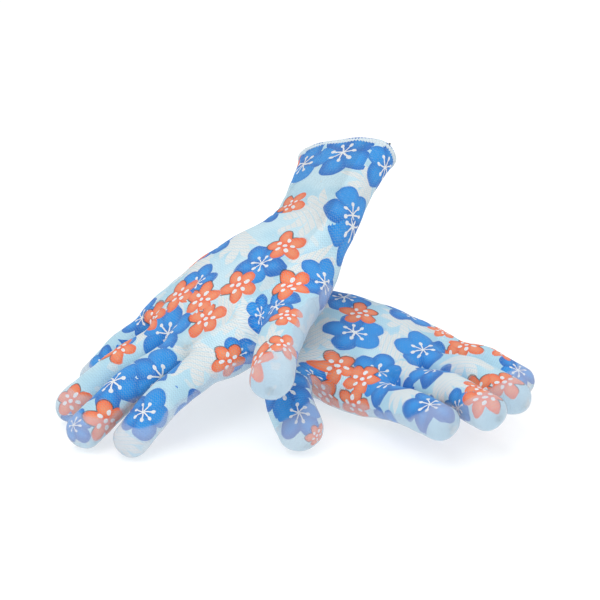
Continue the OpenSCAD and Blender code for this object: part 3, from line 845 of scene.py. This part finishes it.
def printedKnit(name, printed, knit, bump):
    material, tree, shader = newMaterial(name, clothFinish["roughness"], sheen=0.12)
    place = feed(tree, tree.nodes.new("ShaderNodeTexCoord"), {}).outputs["Object"]
    flowers = groupNode(tree, printed, {"Blue Place": attributeSocket(tree, "blueMotif"),
                                        "Orange Place": attributeSocket(tree, "orangeMotif"),
                                        "Leaf Place": attributeSocket(tree, "leafMotif"),
                                        "Cloth Place": place})
    uv = tree.nodes.new("ShaderNodeUVMap")
    uv.uv_map = "knit"
    stitches = groupNode(tree, knit, {"Stitch": uv.outputs["UV"], "Rib": attributeSocket(tree, "rib", "Fac")})
    film = attributeSocket(tree, "film", "Fac")
    # painted shade: the low places between the knit loops are tinted towards a dark blue-grey, for the shade
    # that falls into the stitch gaps
    dark = calc(tree, "MULTIPLY", stitches.outputs["Gap"], clothFinish["gapShadeStrength"])
    colour = tint(tree, dark, flowers.outputs["Color"], printColours["stitchGapShade"])
    flecks = calc(tree, "MULTIPLY", rise(tree, grain(tree, place, 900.0, 2.0, 0.7), 0.56, 0.7), 0.10)
    colour = tint(tree, flecks, colour, printColours["white"])
    colour = tint(tree, calc(tree, "MULTIPLY", film, clothFinish["filmPale"]), colour, printColours["white"])
    inside = attributeSocket(tree, "inside", "Fac")
    unprinted = calc(tree, "MULTIPLY", inside, clothFinish["insidePale"])
    colour = tint(tree, unprinted, colour, printColours["inside"])
    sunk = calc(tree, "SUBTRACT", 1.0, calc(tree, "MULTIPLY", film, 0.5))
    height = calc(tree, "MULTIPLY", stitches.outputs["Height"], sunk)
    height = calc(tree, "ADD", height, calc(tree, "MULTIPLY", grain(tree, place, 500.0, 2.0), 0.25))
    node = feed(tree, tree.nodes.new("ShaderNodeBump"),
                {"Strength": bump, "Distance": clothFinish["stitchDepth"], "Height": height})
    feed(tree, shader, {"Base Color": colour, "Normal": node.outputs["Normal"]})
    return material


filmFinish = {"haze": 0.13, "roughness": 0.30, "wrinkle": 0.00012, "tone": (0.64, 0.68, 0.79, 1)}


def clearFilm(name, knit):
    # a thin milky skin: the cloth shows through it, and the wales telegraph into its surface
    material, tree, shader = newMaterial(name, filmFinish["roughness"])
    shader.inputs["Specular IOR Level"].default_value = 0.5
    place = tree.nodes.new("ShaderNodeTexCoord").outputs["Object"]
    film = attributeSocket(tree, "film", "Fac")
    cloudy = grain(tree, place, 140.0, 3.0, 0.6)
    patchy = calc(tree, "MULTIPLY", calc(tree, "SUBTRACT", cloudy, 0.5), 0.10)
    alpha = calc(tree, "ADD", filmFinish["haze"], patchy)
    alpha = calc(tree, "MULTIPLY", alpha, rise(tree, film, 0.12, 0.85), clamp=True)
    uv = tree.nodes.new("ShaderNodeUVMap")
    uv.uv_map = "knit"
    stitches = groupNode(tree, knit, {"Stitch": uv.outputs["UV"]})
    wales = calc(tree, "MULTIPLY", stitches.outputs["Height"], 0.5)
    height = calc(tree, "ADD", wales, grain(tree, place, 260.0, 3.0))
    node = feed(tree, tree.nodes.new("ShaderNodeBump"),
                {"Strength": 0.5, "Distance": filmFinish["wrinkle"], "Height": height})
    rough = calc(tree, "ADD", 0.22, calc(tree, "MULTIPLY", cloudy, 0.22))
    feed(tree, shader, {"Base Color": filmFinish["tone"], "Alpha": alpha, "Roughness": rough,
                        "Normal": node.outputs["Normal"]})
    return material


def threadMaterial(name, colour, twist):
    material, tree, shader = newMaterial(name, 0.7, sheen=0.2)
    place = tree.nodes.new("ShaderNodeTexCoord").outputs["Object"]
    shade = rise(tree, grain(tree, place, twist, 2.0, 0.6), 0.35, 0.65)
    dark = tuple(0.82 * v for v in colour[:3]) + (1,)
    node = feed(tree, tree.nodes.new("ShaderNodeBump"),
                {"Strength": 0.4, "Distance": 0.0001, "Height": shade})
    feed(tree, shader, {"Base Color": tint(tree, shade, dark, colour), "Normal": node.outputs["Normal"]})
    return material


# Trims, in millimetres: places along the glove, half sizes and thread radius
hemForm = {"middle": -60.3, "halfHeight": 1.75, "halfThick": 0.95, "loops": 78, "thread": 0.27}
elasticForm = {"rows": (-11.8, -23.6, -35.4, -47.2), "thread": 0.34}


def cuffPlaces(side, angle, y, grow):
    # points on the cuff's superellipse at each angle, grown outwards, carried to where the glove lies
    ys, columns = evenRows(gloveLay[side]["fullness"])
    n = 2 / gloveForm["squareness"]
    half = (np.interp(y, ys, columns[1]) - np.interp(y, ys, columns[0])) / 2
    high = np.interp(y, ys, columns[2])
    x = (half + grow) * np.sign(np.cos(angle)) * np.abs(np.cos(angle)) ** n
    z = (high + grow) * np.sign(np.sin(angle)) * np.abs(np.sin(angle)) ** n
    flat = np.stack([x, y + 0 * x, z], -1)
    return laidOut(bentGlove(flat.reshape(-1, 3), side), side).reshape(flat.shape)


def evenAngles(count):
    # angles that step evenly along the superellipse's outline
    a = np.linspace(0, 2 * math.pi, 1441)
    n = 2 / gloveForm["squareness"]
    x = 27 * np.sign(np.cos(a)) * np.abs(np.cos(a)) ** n
    z = 13 * np.sign(np.sin(a)) * np.abs(np.sin(a)) ** n
    run = np.concatenate([[0], np.cumsum(np.hypot(np.diff(x), np.diff(z)))])
    return np.interp(np.arange(count) / count * run[-1], run, a)


def closedGridFaces(rows, columns):
    i, j = np.meshgrid(np.arange(rows), np.arange(columns), indexing="ij")
    a, b = i * columns + j, i * columns + (j + 1) % columns
    c, d = (i + 1) % rows * columns + (j + 1) % columns, (i + 1) % rows * columns + j
    return np.stack([a, b, c, d], -1).reshape(-1, 4)


def facingOut(points, faces):
    # turns the whole closed shape round if its volume comes out negative
    a, b, c, d = (points[faces[:, k]] for k in range(4))
    volume = (a * np.cross(b, c)).sum() + (a * np.cross(c, d)).sum()
    return faces if volume > 0 else faces[:, ::-1]


def carriedThread(path, radius, sides):
    # a round thread along a closed path: each ring stands across the line between its neighbours
    ahead = np.roll(path, -1, 0) - np.roll(path, 1, 0)
    ahead /= np.linalg.norm(ahead, axis=1)[:, None]
    outward = path - path.mean(0)
    outward -= (outward * ahead).sum(1)[:, None] * ahead
    outward /= np.linalg.norm(outward, axis=1)[:, None]
    up = np.cross(ahead, outward)
    a = np.arange(sides) / sides * 2 * math.pi
    ring = outward[:, None] * np.cos(a)[:, None] + up[:, None] * np.sin(a)[:, None]
    return (path[:, None] + radius * ring).reshape(-1, 3), closedGridFaces(len(path), sides)


def joinedShapes(shapes):
    points, faces, at = [], [], 0
    for p, f in shapes:
        points.append(p)
        faces.append(facingOut(p - p.mean(0), f) + at)
        at += len(p)
    return np.vstack(points), np.vstack(faces)


def makeHem(side, material):
    h = hemForm
    angle = evenAngles(312)
    turn = np.arange(10) / 10 * 2 * math.pi
    swell = 1 + 0.10 * np.cos(np.arange(312) / 312 * 2 * math.pi * h["loops"])[:, None]
    y = h["middle"] + h["halfHeight"] * np.sin(turn)[None] * swell
    grow = -0.6 + h["halfThick"] * np.cos(turn)[None] * swell
    band = cuffPlaces(side, np.repeat(angle[:, None], 10, 1), y, grow).reshape(-1, 3)
    count = h["loops"] * 12
    angle = evenAngles(count)
    phase = np.arange(count) / count * 2 * math.pi * h["loops"]
    coil = cuffPlaces(side, angle, h["middle"] + (h["halfHeight"] + 0.1) * np.sin(phase),
                      -0.6 + (h["halfThick"] + 0.12) * np.cos(phase))
    points, faces = joinedShapes([(band, closedGridFaces(312, 10)), carriedThread(coil, h["thread"], 5)])
    points[:, 2] = np.maximum(points[:, 2], 0.1)
    return newMesh(side + "Hem", points / 1000, faces, material)


def makeElastic(side, material):
    shapes = []
    for row in elasticForm["rows"]:
        angle = evenAngles(220)
        wave = np.sin(np.arange(220) / 220 * 2 * math.pi * 27)
        path = cuffPlaces(side, angle, row + 0.35 * wave, -gloveForm["cloth"] - 0.62)
        shapes.append(carriedThread(path, elasticForm["thread"], 6))
    points, faces = joinedShapes(shapes)
    return newMesh(side + "Elastic", points / 1000, faces, material)


# film: lift above the cloth and thickness in millimetres, and the least cover at which it is made
filmForm = {"lift": 0.30, "thickness": 0.14, "least": 0.02}
# where along its bone each stall's knuckle turns, and over how much to each side
knuckles = {"Index": (9, 8.5), "Middle": (9, 8.5), "Ring": (9, 8.5), "Pinky": (9, 6), "Thumb": (40, 9.5)}


def makeGlove(side, paint):
    skin = gloveSkin(side)
    glove = side + "_glove"
    onHand = (skin["label"] < 0) & (skin["faceFlat"][:, 1] >= 0)
    onCuff = (skin["label"] < 0) & (skin["faceFlat"][:, 1] < 0)
    filmed = skin["film"][skin["faces"]].max(1) > filmForm["least"]
    hand = thickCloth(side + "Hand", skin, onHand, paint["knit"], 0, gloveForm["cloth"])
    cuff = thickCloth(side + "Cuff", skin, onCuff, paint["rib"], 0, gloveForm["cloth"])
    palmFilm = thickCloth(side + "PalmFilm", skin, onHand & filmed, paint["film"], filmForm["lift"],
                          filmForm["thickness"])
    hem, elastic = makeHem(side, paint["hem"]), makeElastic(side, paint["elastic"])
    for piece, node, slot in ((hand, "_hand", "printed_knit"), (cuff, "_cuff", "printed_rib"),
                              (palmFilm, "_palm_coat", "clear_film"), (hem, "_hem", "hem_thread"),
                              (elastic, "_elastic", "elastic_thread")):
        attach(piece, glove)
        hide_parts(side + node)
    for number, (name, digit) in enumerate(digitForm.items()):
        code = side + "_" + name.lower()
        onDigit = skin["label"] == number
        isNear = skin["faceOwn"][:, 0] < digit["cuts"][1]
        pivot, swing = knuckles[name]
        stalls = (("Near", onDigit & isNear, (glove, code + "_near"), (pivot - swing, pivot + swing),
                   "_base"),
                  ("Far", onDigit & ~isNear, (code + "_near", code + "_far"),
                   (digit["near"] - digit["swing"], digit["near"] + digit["swing"]), "_tip"))
        for part, chosen, pair, zone, node in stalls:
            cloth = thickCloth(side + name + part, skin, chosen, paint["knit"], 0, gloveForm["cloth"])
            film = thickCloth(side + name + part + "Film", skin, chosen & filmed, paint["film"],
                              filmForm["lift"], filmForm["thickness"])
            for piece, which, slot in ((cloth, node, "printed_knit"), (film, node + "_coat", "clear_film")):
                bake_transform(piece)
                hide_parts(code + which)
    print(side, "glove made:", len(skin["points"]), "skin points")


petals, knit = petalGroup(), knitGroup()
printed = printedGroup(petals)
paint = {"knit": printedKnit("printedKnit", printed, knit, clothFinish["bump"]),
         "rib": printedKnit("printedRib", printed, knit, 0.85), "film": clearFilm("clearFilm", knit),
         "hem": threadMaterial("hemThread", (0.74, 0.84, 0.89, 1), 1500.0),
         "elastic": threadMaterial("elasticThread", (0.80, 0.82, 0.83, 1), 2500.0)}
for side in gloveLay:
    makeGlove(side, paint)


# Floor, light and camera in metres and degrees; a panel is its name, place, side and power
studio = {"floor": 0.62, "floorGlow": 0.5, "floorHalf": 6, "floorDrop": 0.0002, "worldStrength": 0.62,
          "camera": (0.0013, -0.8549, 0.4084), "tilt": 67.3, "view": 19.48, "sensor": 36,
          "panels": (("keyPanel", (-0.5, -0.7, 1.3), 1.1, 8.4), ("fillPanel", (0.9, -0.5, 0.9), 1.0, 2.6),
                     ("topPanel", (0.1, 0.6, 1.3), 1.2, 3.6))}


def makeStudio():
    material, _, shader = newMaterial("paleFloor", 0.9)
    shader.inputs["Base Color"].default_value = (studio["floor"],) * 3 + (1,)
    shader.inputs["Emission Color"].default_value = (1, 1, 1, 1)
    shader.inputs["Emission Strength"].default_value = studio["floorGlow"]
    half, drop = studio["floorHalf"], -studio["floorDrop"]
    corners = np.array([[-half, -half, drop], [half, -half, drop], [half, half, drop], [-half, half, drop]])
    floor = newMesh("studioFloor", corners, np.array([[0, 1, 2, 3]]), material)
    world = bpy.data.worlds.new("softSky")
    bpy.context.scene.world = world
    world.use_nodes = True
    world.node_tree.nodes["Background"].inputs[0].default_value = (1, 1, 1, 1)
    world.node_tree.nodes["Background"].inputs[1].default_value = studio["worldStrength"]
    for name, place, size, power in studio["panels"]:
        light = bpy.data.lights.new(name, "AREA")
        light.size, light.energy = size, power
        lamp = bpy.data.objects.new(name, light)
        lamp.location = place
        lamp.rotation_euler = (Vector((0, 0, 0.05)) - Vector(place)).to_track_quat("-Z", "Y").to_euler()
        bpy.context.scene.collection.objects.link(lamp)
    camera = bpy.data.cameras.new("camera")
    camera.sensor_width = studio["sensor"]
    camera.lens = studio["sensor"] / 2 / math.tan(math.radians(studio["view"] / 2))
    camera.clip_start, camera.clip_end = 0.01, 20
    holder = bpy.data.objects.new("camera", camera)
    holder.location = studio["camera"]
    holder.rotation_euler = (math.radians(studio["tilt"]), 0, 0)
    bpy.context.scene.collection.objects.link(holder)
    bpy.context.scene.camera = holder
    bpy.context.scene.view_settings.view_transform = "Standard"


makeStudio()
print("studio ready")
